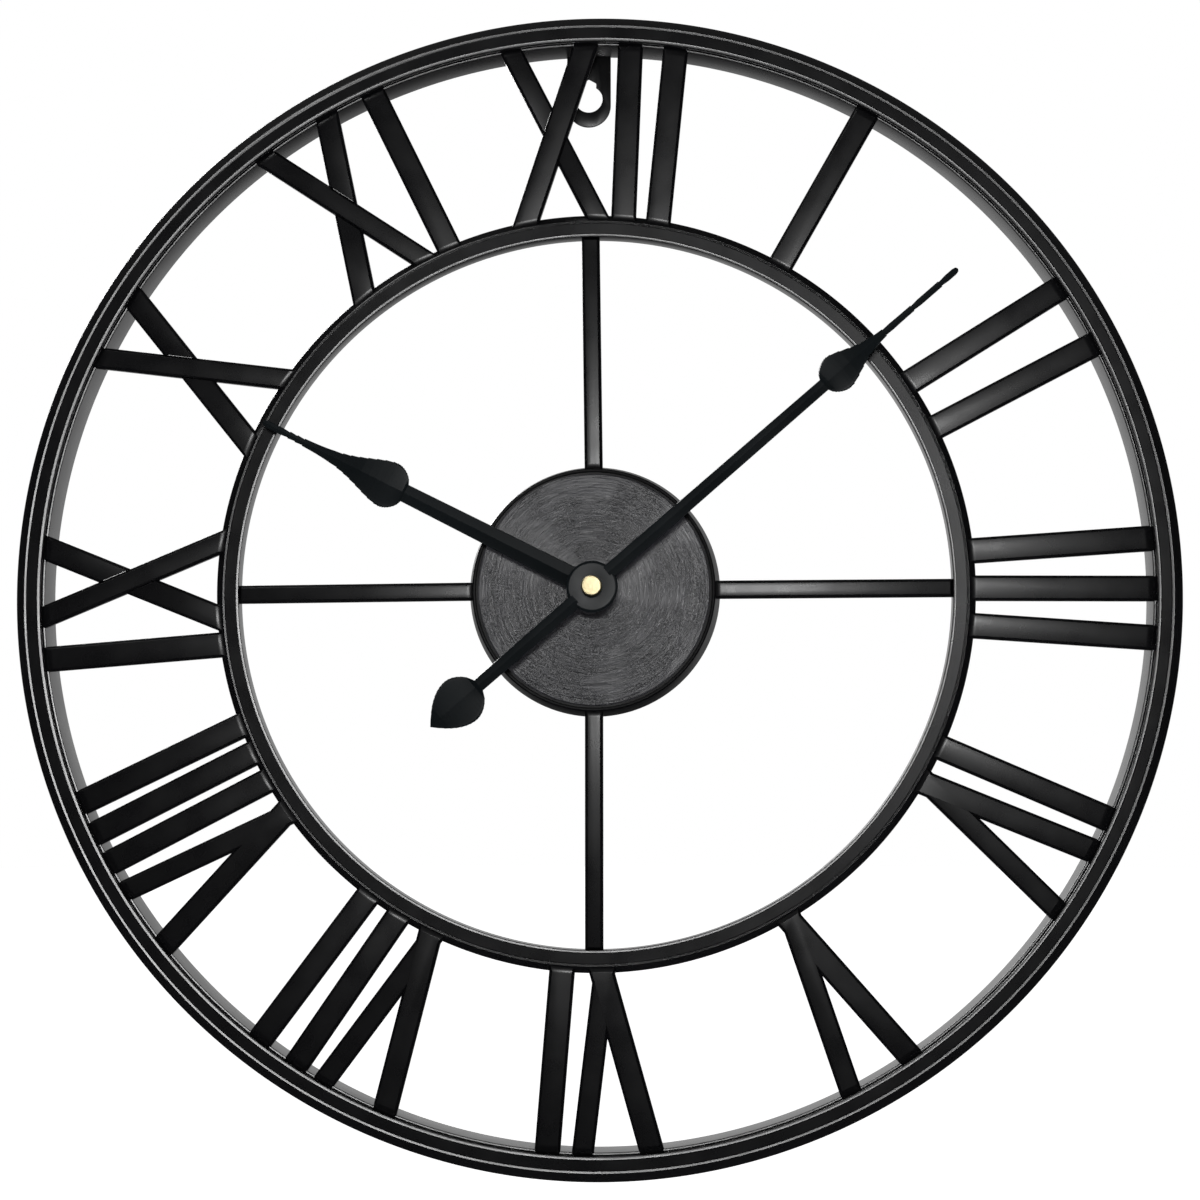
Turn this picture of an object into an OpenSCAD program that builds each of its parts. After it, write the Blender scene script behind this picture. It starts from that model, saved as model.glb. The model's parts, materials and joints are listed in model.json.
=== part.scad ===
// Open-frame wall clock: pressed steel rings and Roman numerals, spade hands, quartz movement.
// Every piece is drawn lying on its back in the dial frame (x right, y up to twelve,
// z forward from the wall) and then stood upright, so that the clock faces -Y.

/* [Rings] */
// Outer diameter of the outer ring
clock_d = 501.5; // [490:0.5:510]
// Depth of the outer ring, from the wall to its front face
ring_depth = 20; // [19:0.5:21]
// Outer diameter of the inner ring
inner_ring_d = 326.6; // [322:0.2:330]
// Radial width of the inner ring
inner_ring_w = 9.8; // [9:0.2:11]
// Height of the front faces of inner ring, numerals and disc above the wall
dial_z = 18.5; // [18:0.1:18.5]
// Thickness of the pressed sheet
sheet = 1; // [0.8:0.1:1.2]

/* [Numerals] */
// Width of a single numeral bar
bar_w = 10.9; // [9:0.1:11.2]
// Width of the broad strokes of a V and of an X
broad_w = 10.5; // [9.5:0.1:11]
// Width of their narrow strokes
narrow_w = 9.3; // [8.5:0.1:10]
// Depth of the pressed tray
tray_h = 3.5; // [3:0.1:4]
// Width of the sloped long edges of a tray
tray_chamfer = 1.2; // [0.8:0.1:1.4]
// Half the distance between the two leg ends of a V at the hoop
v_spread = 14.4; // [13.5:0.1:14.6]
// How far the legs of a V cross over at the inner ring
v_cross = 0.5; // [0:0.1:1]

/* [Disc and spokes] */
// Diameter of the spun disc
disc_d = 99.8; // [99:0.2:100.4]
// Diameter of the pan at its front rim
rim_d = 104.4; // [103.6:0.2:105]
// Diameter of the pan at its rear edge
pan_d = 108.6; // [107:0.2:109]
// Height of the pan's rear edge above the wall
pan_z = 6; // [4:0.5:8]
// Width of a spoke
spoke_w = 7.8; // [6:0.1:9]

/* [Hanger] */
// Sideways position of the hanger
hanger_x = -2.9; // [-3:0.1:0]
// Height of the keyhole's round hole above the dial centre
hanger_y = 219; // [218:0.5:220]
// Radius of the keyhole's round hole
hanger_hole_r = 6; // [5:0.1:6.2]
// Half-width of the keyhole's slot
hanger_slot = 3.2; // [2.5:0.1:3.4]

/* [Hands] */
// Angle of the minute hand, clockwise from twelve
minute_angle = 49.1; // [0:0.1:359.9]
// Length of the minute hand from the axis to its tip
minute_length = 205.5; // [190:0.5:215]
// Angle of the hour hand, clockwise from twelve
hour_angle = 297; // [0:0.1:359.9]
// Length of the hour hand from the axis to its tip
hour_length = 159; // [140:0.5:170]
// Thickness of the hands' sheet
hand_sheet = 1; // [0.8:0.1:1.2]

/* [Movement] */
// Side of the square movement case
case_w = 56; // [55.6:0.2:57]
// Diameter of the battery
battery_d = 14; // [13.6:0.1:14]

/* [Hidden] */

$fn = 96;
eps = 0.01;
through = 100;

// Colours
BLACK = [0.05, 0.05, 0.055];
SATIN = [0.07, 0.07, 0.075];
SPUN = [0.16, 0.16, 0.17];
BRASS = [0.86, 0.72, 0.42];
STEEL = [0.65, 0.65, 0.67];
PLASTIC = [0.12, 0.12, 0.13];
GEAR_WHITE = [0.88, 0.87, 0.82];
COPPER = [0.72, 0.38, 0.2];
BOARD_GREEN = [0.1, 0.35, 0.18];
CELL = [0.75, 0.52, 0.2];

// Rings
ring_r = clock_d / 2;
ring_lip_r = ring_r - 11.15;
ring_bevel_w = 4.1;
ring_bevel_h = 3.5;
bead_w = 0.6;
bead_h = 0.4;
hoop_ro = ring_lip_r;
hoop_ri = hoop_ro - 1.4;
hoop_z = ring_depth - 2.5;
inner_ro = inner_ring_d / 2;
inner_ri = inner_ro - inner_ring_w;
inner_z = 9.5;
ring_slope_w = 2.7;
ring_slope_h = 2.5;

// Numerals: the strokes run from the inner ring's wall to the hoop
stroke_v0 = 163;
stroke_v1 = 237;
tray_z = dial_z - tray_h;
tray_wall = 0.9;
end_slope_inner = 1.8;
end_lap = 2.25;
end_slope_outer = 3.2;
// Offsets of each glyph from its hour line: [at the inner ring, at the hoop]
BARS_1 = [[-0.4, -0.9]];
BARS_2 = [[-9.2, -11.7], [13.3, 16.5]];
BARS_3 = [[-16.2, -21.1], [-0.1, 0.3], [16, 21.2]];
BARS_4 = [[-15.3, -24]];
V_4 = [1, 5.5];
V_5 = [-2, -2.2];
V_6 = [-4, -10];
BARS_6 = [[13.5, 19.5]];
V_7 = [-13.8, -19.8];
BARS_7 = [[2.7, 8.5], [18.4, 27.3]];
V_8 = [-17.1, -25.7];
BARS_8 = [[-0.7, 2.6], [12.7, 16.7], [25.7, 31.3]];
BARS_9 = [[-23.5, -29.5]];
BARS_11 = [[20.3, 25.2]];
BARS_12 = [[13, 16], [28.3, 35.8]];
// An X adds the half spread of its strokes: [at the inner ring, at the hoop, half, half]
X_9 = [4.6, 4, 15.8, 14.5];
X_10 = [-3.1, -4.5, 15.6, 14.5];
X_11 = [-7.2, -13.7, 14.8, 15.9];
X_12 = [-13.6, -20.3, 14.8, 16.3];
// Offsets of each spoke from its hour line: [at the pan, at the inner ring]
SPOKE_TOP = [-0.1, -1.4];
SPOKE_RIGHT = [0.1, -0.3];
SPOKE_BOTTOM = [-0.1, -0.2];
SPOKE_LEFT = [-0.6, -1.6];

// Disc, pan and clamp
disc_r = disc_d / 2;
pan_r = pan_d / 2;
rim_r = rim_d / 2;
plate_t = 0.8;
plate_z = dial_z - plate_t;
rim_w = 1.5;
ledge_r = 46;
stem_r = 4;
stem_hole = 4.1;

// Movement case
case_front = plate_z - 0.7;
case_back = 3.2;
cover_back = 2;
case_wall = 1.2;
case_in = case_w / 2 - case_wall;
partition_y = -10.9;
battery_y = -19;
battery_z = 8.9;
battery_r = battery_d / 2;
battery_half = 24;
train_z = 10.6;
train_t = 0.8;
front_in = case_front - 1;
pivot_z = 2.5;
run = 0.05;

// Train: wheel centres, modules and tooth counts
MODULE_A = 0.25;
MODULE_B = 0.25 * 34 / 36;
MODULE_C = 0.45;
MODULE_D = 0.36;
third_d = MODULE_A * (8 + 60) / 2;
THIRD = [0, third_d];
fifth_d = MODULE_A * (10 + 60) / 2;
fifth_dir = 150;
FIFTH = fifth_d * [cos(fifth_dir), sin(fifth_dir)];
rotor_d = MODULE_A * (10 + 50) / 2;
rotor_dir = 120;
ROTOR = FIFTH + rotor_d * [cos(rotor_dir), sin(rotor_dir)];
idler_d = MODULE_C * (12 + 36) / 2;
IDLER = [idler_d, 0];
knob_dir = 60;
KNOB = IDLER + idler_d * [cos(knob_dir), sin(knob_dir)];
COIL = [-21, 5];
coil_z = 8.1;
rotor_hole_r = 3.5;

// Arbors
arbor_r = 1.5;
pivot_r = 0.4;
pipe_ri = arbor_r + 0.1 + run;
pipe_ro = 2.55;
screw_r = 1.25;
hour_z = 27;
minute_z = 33;
nut_z = 34.2;
depth_total = 39.5;

// Hands
minute_boss_r = 10.95;
hour_boss_r = 9.5;
hour_bush_r = 3.6;
minute_bush_r = 2.6;
nut_r = 4.35;

// --- Shared shapes ---

// Stands a shape from the dial frame upright, with the origin at mid depth
module upright() {
    translate([0, depth_total / 2, 0]) rotate([90, 0, 0]) children();
}

// A ring or turned piece from its [radius, height] outline
module lathe(outline) {
    rotate_extrude() polygon(outline);
}

module disc(r, z0, z1) {
    translate([0, 0, z0]) cylinder(r = r, h = z1 - z0);
}

module tube(ro, ri, z0, z1) {
    difference() {
        disc(ro, z0, z1);
        disc(ri, z0 - 1, z1 + 1);
    }
}

module block(low, high) {
    translate(low) cube(high - low);
}

// --- Pressed trays: numerals and spokes ---

// Cross-section of a tray: flat top with sloped long edges
function tray_section(w, z0, z1, slope) = [
    [-w / 2, z0], [w / 2, z0], [w / 2, z1 - slope],
    [w / 2 - slope, z1], [slope - w / 2, z1], [-w / 2, z1 - slope]
];

// Draws its 2D section swept along the stroke from offset u0 (at v0) to u1 (at v1)
module along_stroke(u0, u1, v0, v1) {
    overrun = 12;
    length = norm([u1 - u0, v1 - v0]);
    translate([u0, v0, 0])
        rotate(-atan2(u1 - u0, v1 - v0))
            translate([0, length + overrun, 0])
                rotate([90, 0, 0])
                    linear_extrude(length + 2 * overrun) children();
}

// Height of the inner ring's sloped outer edge at radius r
function ring_slope_z(r) = dial_z - bead_h / 2
    - (ring_slope_h - bead_h / 2) * (r - inner_ro + ring_slope_w) / ring_slope_w;

// The space a tray fills: it laps onto the inner ring's slope and onto the hoop's front edge
module end_band() {
    lap_r = inner_ro - end_lap;
    lathe([
        [inner_ro, tray_z], [hoop_ri, tray_z], [hoop_ri, hoop_z], [hoop_ro, hoop_z],
        [hoop_ro, hoop_z + 0.1], [hoop_ro - end_slope_outer, dial_z],
        [lap_r + end_slope_inner, dial_z], [lap_r, ring_slope_z(lap_r)], [inner_ro, ring_slope_z(inner_ro)]
    ]);
}

module hollow_band(r0, r1, z0, z1) {
    lathe([[r0, z0], [r1, z0], [r1, z1], [r0, z1]]);
}

// One or more numeral strokes, each [offset, offset, width], as a single tray open at the back
module numeral_tray(strokes) {
    top = dial_z - tray_wall;
    difference() {
        intersection() {
            union() for (s = strokes) along_stroke(s[0], s[1], stroke_v0, stroke_v1)
                polygon(tray_section(s[2], tray_z, dial_z, tray_chamfer));
            end_band();
        }
        intersection() {
            union() for (s = strokes) along_stroke(s[0], s[1], stroke_v0, stroke_v1)
                polygon(tray_section(s[2] - 2 * tray_wall, tray_z - 1, top, tray_chamfer - 0.3));
            hollow_band(inner_ro + end_slope_inner, hoop_ri - tray_wall, tray_z - 1, top);
        }
    }
}

module at_hour(hour) {
    color(BLACK) upright() rotate(-30 * hour) children();
}

// Single bars, each its own tray
module bars(hour, offsets) {
    at_hour(hour) for (s = offsets) numeral_tray([[s[0], s[1], bar_w]]);
}

// A V pressed as one tray, its point at the inner ring
module v_piece(hour, c) {
    at_hour(hour) numeral_tray([
        [c[0] + v_cross, c[1] - v_spread, broad_w],
        [c[0] - v_cross, c[1] + v_spread, narrow_w]
    ]);
}

// The two strokes of an X: the broad one has side 1 and the narrow one side -1
function x_stroke(c, side) = [c[0] - side * c[2], c[1] + side * c[3], side > 0 ? broad_w : narrow_w];

module x_bar(hour, c, side) {
    at_hour(hour) numeral_tray([x_stroke(c, side)]);
}

// The other stroke as two half bars welded against the through bar
module x_halves(hour, c, side) {
    other = x_stroke(c, side);
    at_hour(hour) difference() {
        numeral_tray([x_stroke(c, -side)]);
        along_stroke(other[0], other[1], stroke_v0, stroke_v1)
            translate([-other[2] / 2, 0]) square([other[2], through]);
    }
}

// --- Frame ---

module outer_ring() {
    back = ring_depth - 10;
    color(BLACK) upright() lathe([
        [ring_r, 0], [ring_r, ring_depth - ring_bevel_h],
        [ring_r - ring_bevel_w + bead_w, ring_depth - bead_h / 2],
        [ring_r - ring_bevel_w, ring_depth],
        [ring_r - ring_bevel_w - bead_w, ring_depth - bead_h],
        [ring_lip_r + 3 * bead_w, ring_depth - bead_h],
        [ring_lip_r + 2 * bead_w, ring_depth],
        [ring_lip_r + bead_w / 2, ring_depth - bead_h / 3],
        [ring_lip_r, ring_depth - bead_h - bead_w / 2],
        [ring_lip_r, back], [ring_lip_r + sheet, back],
        [ring_lip_r + sheet, ring_depth - bead_h - sheet],
        [ring_r - ring_bevel_w - sheet / 2, ring_depth - bead_h - sheet],
        [ring_r - sheet, ring_depth - ring_bevel_h - sheet / 2], [ring_r - sheet, 0]
    ]);
}

module hoop() {
    color(BLACK) upright() lathe([
        [hoop_ro, 0], [hoop_ro, hoop_z], [hoop_ri + 0.3, hoop_z], [hoop_ri, hoop_z - 0.3], [hoop_ri, 0]
    ]);
}

module inner_ring() {
    color(BLACK) upright() lathe([
        [inner_ro, inner_z], [inner_ro, dial_z - ring_slope_h],
        [inner_ro - ring_slope_w, dial_z - bead_h / 2],
        [inner_ro - ring_slope_w - bead_w / 2, dial_z],
        [inner_ro - ring_slope_w - 2 * bead_w, dial_z - bead_h],
        [inner_ri + 2 * bead_w, dial_z - bead_h], [inner_ri + bead_w, dial_z],
        [inner_ri, dial_z - bead_w], [inner_ri, inner_z], [inner_ri + sheet, inner_z],
        [inner_ri + sheet, dial_z - bead_h - sheet],
        [inner_ro - ring_slope_w - sheet / 2, dial_z - bead_h - sheet],
        [inner_ro - sheet, dial_z - ring_slope_h - sheet / 2], [inner_ro - sheet, inner_z]
    ]);
}

// Radius of the pan's flared side at height z
function pan_side(z) = pan_r + (rim_r - pan_r) * (z - pan_z) / (dial_z - 0.4 - pan_z);

// Spokes run from the pan to the inner ring, a little behind the front faces
module spoke(hour, c) {
    top = dial_z - 0.8;
    low = top - tray_h;
    slope = tray_chamfer;
    end = slope + 0.3;
    foot = 0.4;
    at_hour(hour) difference() {
        intersection() {
            along_stroke(c[0], c[1], pan_r, inner_ri)
                polygon(tray_section(spoke_w, low, top, slope));
            lathe([
                [pan_side(low), low], [inner_ri, low], [inner_ri, top - end], [inner_ri - slope, top],
                [pan_r - foot, top], [pan_side(top - foot), top - foot]
            ]);
        }
        intersection() {
            along_stroke(c[0], c[1], pan_r, inner_ri)
                polygon(tray_section(spoke_w - 2 * tray_wall, low - 1, top - tray_wall, slope - 0.3));
            hollow_band(pan_r + slope, inner_ri - slope, low - 1, top - tray_wall);
        }
    }
}

module spoke_top() { spoke(0, SPOKE_TOP); }
module spoke_right() { spoke(3, SPOKE_RIGHT); }
module spoke_bottom() { spoke(6, SPOKE_BOTTOM); }
module spoke_left() { spoke(9, SPOKE_LEFT); }

// Flared pan with a raised rim and a ledge that carries the spun disc
module dial_pan() {
    ledge_z = plate_z - plate_t;
    color(BLACK) upright() lathe([
        [pan_r, pan_z], [rim_r, dial_z - 0.4], [rim_r - 0.4, dial_z],
        [rim_r - rim_w + 0.4, dial_z], [rim_r - rim_w, dial_z - 0.4], [rim_r - rim_w, plate_z],
        [ledge_r, plate_z], [ledge_r, ledge_z], [pan_side(ledge_z) - sheet, ledge_z],
        [pan_r - sheet, pan_z]
    ]);
}

module dial_plate() {
    color(SPUN) upright() difference() {
        lathe([
            [0, plate_z], [disc_r, plate_z], [disc_r, dial_z - 0.2], [disc_r - 0.2, dial_z], [0, dial_z]
        ]);
        disc(stem_hole, 0, through);
    }
}

// Sheet tab with a keyhole: a screw head enters the round hole and drops into the slot
module hanger_plate() {
    tab_r = 9.7;
    z0 = 0.8;
    z1 = 2;
    slot_top = 7.2;
    peak = 1.8;
    color(BLACK) upright() difference() {
        intersection() {
            union() {
                translate([hanger_x, hanger_y - 2.9, 0]) disc(tab_r, z0, z1);
                block([hanger_x - tab_r, hanger_y - 2.9, z0], [hanger_x + tab_r, ring_r, z1]);
            }
            disc(hoop_ri, 0, through);
        }
        translate([hanger_x, hanger_y, 0]) disc(hanger_hole_r, 0, through);
        translate([hanger_x, hanger_y, 0]) linear_extrude(through) polygon([
            [-hanger_slot, 0], [hanger_slot, 0], [hanger_slot, slot_top],
            [0, slot_top + peak], [-hanger_slot, slot_top]
        ]);
    }
}

// --- Numerals ---

module numeral_01_bar() { bars(1, BARS_1); }
module numeral_02_bars() { bars(2, BARS_2); }
module numeral_03_bars() { bars(3, BARS_3); }
module numeral_04_bar() { bars(4, BARS_4); }
module numeral_04_v() { v_piece(4, V_4); }
module numeral_05_v() { v_piece(5, V_5); }
module numeral_06_v() { v_piece(6, V_6); }
module numeral_06_bar() { bars(6, BARS_6); }
module numeral_07_v() { v_piece(7, V_7); }
module numeral_07_bars() { bars(7, BARS_7); }
module numeral_08_v() { v_piece(8, V_8); }
module numeral_08_bars() { bars(8, BARS_8); }
module numeral_09_bar() { bars(9, BARS_9); }
module numeral_09_x_bar() { x_bar(9, X_9, -1); }
module numeral_09_x_halves() { x_halves(9, X_9, -1); }
module numeral_10_x_bar() { x_bar(10, X_10, -1); }
module numeral_10_x_halves() { x_halves(10, X_10, -1); }
module numeral_11_x_bar() { x_bar(11, X_11, -1); }
module numeral_11_x_halves() { x_halves(11, X_11, -1); }
module numeral_11_bar() { bars(11, BARS_11); }
module numeral_12_x_bar() { x_bar(12, X_12, 1); }
module numeral_12_x_halves() { x_halves(12, X_12, 1); }
module numeral_12_bars() { bars(12, BARS_12); }

// --- Gears ---

function involute(a) = tan(a) * 180 / PI - a;

// Half the angle of a tooth at radius r, for n teeth of module m, with backlash
function half_tooth(r, n, m) = let (
    rp = n * m / 2,
    rb = rp * cos(20),
    play = 0.12 * m * 180 / PI / rp
) 90 / n - play + involute(20) - involute(acos(min(1, rb / r)));

// Outline of a gear whose first tooth points along phase
function gear_points(n, m, phase) = let (
    rp = n * m / 2,
    root = rp - 1.25 * m,
    tip = rp + 0.9 * m,
    base = max(root + 0.1 * m, rp * cos(20)),
    flank = [root, base, rp, (rp + tip) / 2, tip]
) [
    for (i = [0 : n - 1])
        for (k = [0 : 9])
            let (
                r = k < 5 ? flank[k] : flank[9 - k],
                h = half_tooth(max(r, base), n, m),
                a = phase + 360 * i / n + (k < 5 ? -h : h)
            ) r * [cos(a), sin(a)]
];

// Phase of the second gear so that it meshes with the first across direction dir
function mesh_phase(dir, n1, phase1, n2) = dir + 180 - (180 - n1 * (dir - phase1)) / n2;

module gear(n, m, phase, z0, z1) {
    translate([0, 0, z0]) linear_extrude(z1 - z0) polygon(gear_points(n, m, phase));
}

fifth_phase = mesh_phase(fifth_dir, 60, 0, 10);
rotor_phase = mesh_phase(rotor_dir, 50, 0, 10);
second_phase = mesh_phase(-90, 60, 0, 8);
third_phase = mesh_phase(90, 64, 0, 8);
idler_phase = mesh_phase(0, 12, 0, 36);
hour_phase = mesh_phase(180, 12, 0, 48);
knob_phase = mesh_phase(knob_dir, 36, idler_phase, 12);

// --- Moving pieces of the movement ---

module rotor() {
    color(GEAR_WHITE) upright() translate([ROTOR[0], ROTOR[1], 0]) {
        gear(10, MODULE_A, rotor_phase, 5, 6.2);
        disc(0.9, 6.2 - eps, 6.8);
        disc(3, 6.6, 10.2);
        disc(pivot_r, pivot_z, train_z + train_t);
    }
}

module fifth_wheel() {
    color(GEAR_WHITE) upright() translate([FIFTH[0], FIFTH[1], 0]) {
        gear(10, MODULE_A, fifth_phase, 3.8, 5.4);
        gear(50, MODULE_A, 0, 5.3, 5.9);
        disc(pivot_r, pivot_z, train_z + train_t);
    }
}

module second_wheel() {
    color(GEAR_WHITE) upright() {
        gear(60, MODULE_A, 0, 4, 4.6);
        gear(8, MODULE_A, second_phase, 6.5, 7.8);
        disc(0.5, 3.4, 7.8);
        disc(pivot_r, pivot_z, 9.2);
    }
}

module third_wheel() {
    color(GEAR_WHITE) upright() translate([THIRD[0], THIRD[1], 0]) {
        gear(60, MODULE_A, 0, 6.9, 7.5);
        gear(8, MODULE_B, third_phase, 8.9, 10.3);
        disc(0.5, 3.4, 10.3);
        disc(pivot_r, pivot_z, train_z + train_t);
    }
}

// Minute wheel of the train, which slips on the minute arbor when the hands are set
module center_wheel() {
    color(GEAR_WHITE) upright() difference() {
        union() {
            gear(64, MODULE_B, 0, 9.3, 9.9);
            disc(2.6, 8.7, 10.2);
        }
        disc(arbor_r + run, 0, through);
    }
}

// Arbor that carries the minute hand, with the pinion that drives the motion work
module minute_arbor() {
    color(STEEL) upright() difference() {
        union() {
            disc(arbor_r, 8.1, 12);
            gear(12, MODULE_C, 0, 12 - eps, 13.2);
            disc(arbor_r + 0.1, 13.2 - eps, minute_z - 0.8);
            disc(screw_r, minute_z - 1, 38);
        }
        disc(pivot_r + run, 0, 9.5);
    }
}

module minute_wheel() {
    color(GEAR_WHITE) upright() translate([IDLER[0], IDLER[1], 0]) {
        gear(36, MODULE_C, idler_phase, 12.2, 13);
        gear(12, MODULE_D, 0, 13 - eps, 15);
        disc(0.8, train_z + 0.1, 12.3);
        disc(0.5, 15 - eps, front_in + 0.5);
    }
}

module hour_wheel() {
    color(GEAR_WHITE) upright() difference() {
        union() {
            gear(48, MODULE_D, hour_phase, 13.8, 14.6);
            disc(4.5, 14.6 - eps, 15.2);
            disc(pipe_ro, 13.8, 28);
        }
        disc(pipe_ri, 0, through);
    }
}

// Knob that sets the hands, reached from behind
module setting_knob() {
    grips = 18;
    grip_r = 0.5;
    color(PLASTIC) upright() translate([KNOB[0], KNOB[1], 0]) {
        difference() {
            disc(5, 0.4, 1.7);
            for (i = [0 : grips - 1]) rotate(360 * i / grips) translate([5, 0, 0]) disc(grip_r, 0, 2);
        }
        disc(arbor_r, 1.7 - eps, 12);
        gear(12, MODULE_C, knob_phase, 12 - eps, 13.2);
    }
}

// --- Fixed pieces of the movement ---

module movement_case() {
    color(PLASTIC) upright() difference() {
        union() {
            block([-case_w / 2, -case_w / 2, case_back], [case_w / 2, case_w / 2, case_front]);
            disc(stem_r, case_front - eps, 22.5);
        }
        block([-case_in, partition_y + 1, 0], [case_in, case_in, front_in]);
        block([-case_in, -case_in, 0], [case_in, partition_y, front_in + 0.2]);
        disc(pipe_ro + run, 0, through);
        translate([IDLER[0], IDLER[1], 0]) disc(0.5 + run, 0, front_in + 0.6);
    }
}

module movement_cover() {
    color(PLASTIC) upright() difference() {
        block([-case_w / 2, partition_y, cover_back], [case_w / 2, case_w / 2, case_back]);
        translate([KNOB[0], KNOB[1], 0]) disc(arbor_r + run, 0, through);
        for (p = [[0, 0], THIRD, FIFTH, ROTOR])
            translate([p[0], p[1], pivot_z]) cylinder(r = pivot_r + run, h = 5);
    }
}

// Plate between the going train and the motion work, which carries the front pivots
module train_plate() {
    color(PLASTIC) upright() difference() {
        block([-15.5, partition_y + 1, train_z], [case_in, case_in, train_z + train_t]);
        disc(arbor_r + run, 0, through);
        for (p = [THIRD, FIFTH, ROTOR]) translate([p[0], p[1], 0]) disc(pivot_r + run, 0, through);
        translate([IDLER[0], IDLER[1], 0]) disc(0.8 + run, 0, through);
        translate([KNOB[0], KNOB[1], 0]) disc(arbor_r + run, 0, through);
    }
}

// Contact strips on the case's end walls, each with a raised button that meets the cell
module battery_contacts() {
    strip = 0.4;
    button = 1;
    color(STEEL) upright() for (side = [-1, 1])
        translate([side * (case_in - strip / 2), battery_y, battery_z]) {
            block([-strip / 2, -5, -5.5], [strip / 2, 5, 6]);
            rotate([0, -90 * side, 0]) cylinder(r = 2.4, h = button);
        }
}

module clamp_nut() {
    color(BRASS) upright() difference() {
        translate([0, 0, dial_z + 0.6]) cylinder(r = 6.9, h = 2.2, $fn = 6);
        disc(stem_r, 0, through);
    }
}

module clamp_washer() {
    color(BRASS) upright() tube(7.5, stem_r, dial_z, dial_z + 0.6);
}

module gasket() {
    color(BLACK) upright() tube(12, stem_r, case_front, plate_z);
}

module coil_bobbin() {
    half = 11.5;
    color(PLASTIC) upright() translate([COIL[0], COIL[1], coil_z]) rotate([90, 0, 0]) difference() {
        union() {
            for (side = [-1, 1]) translate([0, 0, side * half]) cylinder(r = 4, h = 1, center = true);
            cylinder(r = 2, h = 2 * half, center = true);
        }
        cube([2.2, 1.1, through], center = true);
    }
}

module coil_winding() {
    color(COPPER) upright() translate([COIL[0], COIL[1], coil_z]) rotate([90, 0, 0]) difference() {
        cylinder(r = 3.6, h = 22, center = true);
        cylinder(r = 2, h = through, center = true);
    }
}

// Soft-iron stator: a core through the coil and two arms that meet around the rotor
module stator() {
    z0 = coil_z - 0.5;
    z1 = coil_z + 0.5;
    reach = 13.2;
    color(STEEL) upright() difference() {
        union() {
            block([COIL[0] - 1, COIL[1] - reach, z0], [COIL[0] + 1, COIL[1] + reach, z1]);
            translate([ROTOR[0], ROTOR[1], 0]) disc(5.4, z0, z1);
            block([COIL[0] - 1, COIL[1] + 12.2, z0], [ROTOR[0] + 1, COIL[1] + 14.2, z1]);
            block([ROTOR[0] - 1.2, ROTOR[1] + 3, z0], [ROTOR[0] + 1.2, COIL[1] + 14.2, z1]);
            block([COIL[0] - 1, COIL[1] - 14.2, z0], [ROTOR[0] - 3, COIL[1] - 12.2, z1]);
            block([ROTOR[0] - 5.2, COIL[1] - 14.2, z0], [ROTOR[0] - 3, ROTOR[1], z1]);
        }
        translate([ROTOR[0], ROTOR[1], 0]) disc(rotor_hole_r, 0, through);
    }
}

module circuit_board() {
    color(BOARD_GREEN) upright() block([9.5, 15, 5], [25.5, 25.5, 5.8]);
}

module quartz_crystal() {
    color(STEEL) upright() translate([12, 22.5, 6.8]) rotate([0, 90, 0]) cylinder(r = 1, h = 6);
}

// Removable cell, with its raised contact to the right
module battery() {
    color(CELL) upright() translate([0, battery_y, battery_z]) rotate([0, 90, 0]) {
        translate([0, 0, -battery_half - 1]) cylinder(r = battery_r, h = 2 * battery_half + 1);
        translate([0, 0, battery_half - eps]) cylinder(r = 2.7, h = 1.1);
    }
}

// --- Hands ---

// Half-width of a spade that starts at s0, is widest (w) at s1 and fades over reach
function spade(s, s0, s1, shaft, w, tip, reach) = s < s1
    ? shaft + (w - shaft) * pow(sin(90 * (s - s0) / (s1 - s0)), 0.6)
    : tip + (w - tip) * exp(-pow((s - s1) / reach, 1.65));

// Mirrors one side of an outline given as [distance, half-width]
function both_sides(side) = concat(
    [for (p = side) [p[1], p[0]]],
    [for (i = [len(side) - 1 : -1 : 0]) [-side[i][1], side[i][0]]]
);

// Distances from a to b in n equal steps
function steps(a, b, n) = [for (i = [0 : n]) a + (b - a) * i / n];

minute_side = concat(
    [[0, 3.2]],
    [for (s = steps(130.3, 138.5, 8)) [s, spade(s, 130.3, 138.5, 2.65, 8.3, 1.25, 13)]],
    [for (s = steps(140.5, minute_length - 2, 16)) [s, spade(s, 130.3, 138.5, 2.65, 8.3, 1.25, 13)]],
    [[minute_length - 0.5, 0.9], [minute_length, 0.2]]
);

hour_side = concat(
    [[0, 4.6]],
    [for (s = steps(90.3, 98.5, 8)) [s, spade(s, 90.3, 98.5, 3.8, 10.1, 1.35, 18.3)]],
    [for (s = steps(100.5, hour_length - 2, 16)) [s, spade(s, 90.3, 98.5, 3.8, 10.1, 1.35, 18.3)]],
    [[hour_length - 0.5, 0.9], [hour_length, 0.2]]
);

// Leaf-shaped counterweight behind the minute hand
tail_side = concat(
    [[0, 3.1]],
    [for (s = steps(63.5, 73.5, 6)) [s, 2.8 + 7.8 * pow(sin(9 * (s - 63.5)), 0.65)]],
    [for (s = steps(75, 90.1, 8)) [s, 10.6 * (1 - pow((s - 73.5) / 16.8, 1.93))]],
    [[90.3, 0.1]]
);

module minute_hand() {
    color(SATIN) upright() rotate(-minute_angle) difference() {
        translate([0, 0, minute_z]) linear_extrude(hand_sheet) union() {
            polygon(both_sides(minute_side));
            rotate(180) polygon(both_sides(tail_side));
            circle(r = minute_boss_r);
        }
        disc(minute_bush_r, 0, through);
    }
}

module minute_hand_bush() {
    color(BRASS) upright() difference() {
        union() {
            disc(3.6, minute_z - 0.7, minute_z);
            disc(minute_bush_r, minute_z - 0.7, nut_z);
        }
        disc(screw_r, 0, through);
    }
}

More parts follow.
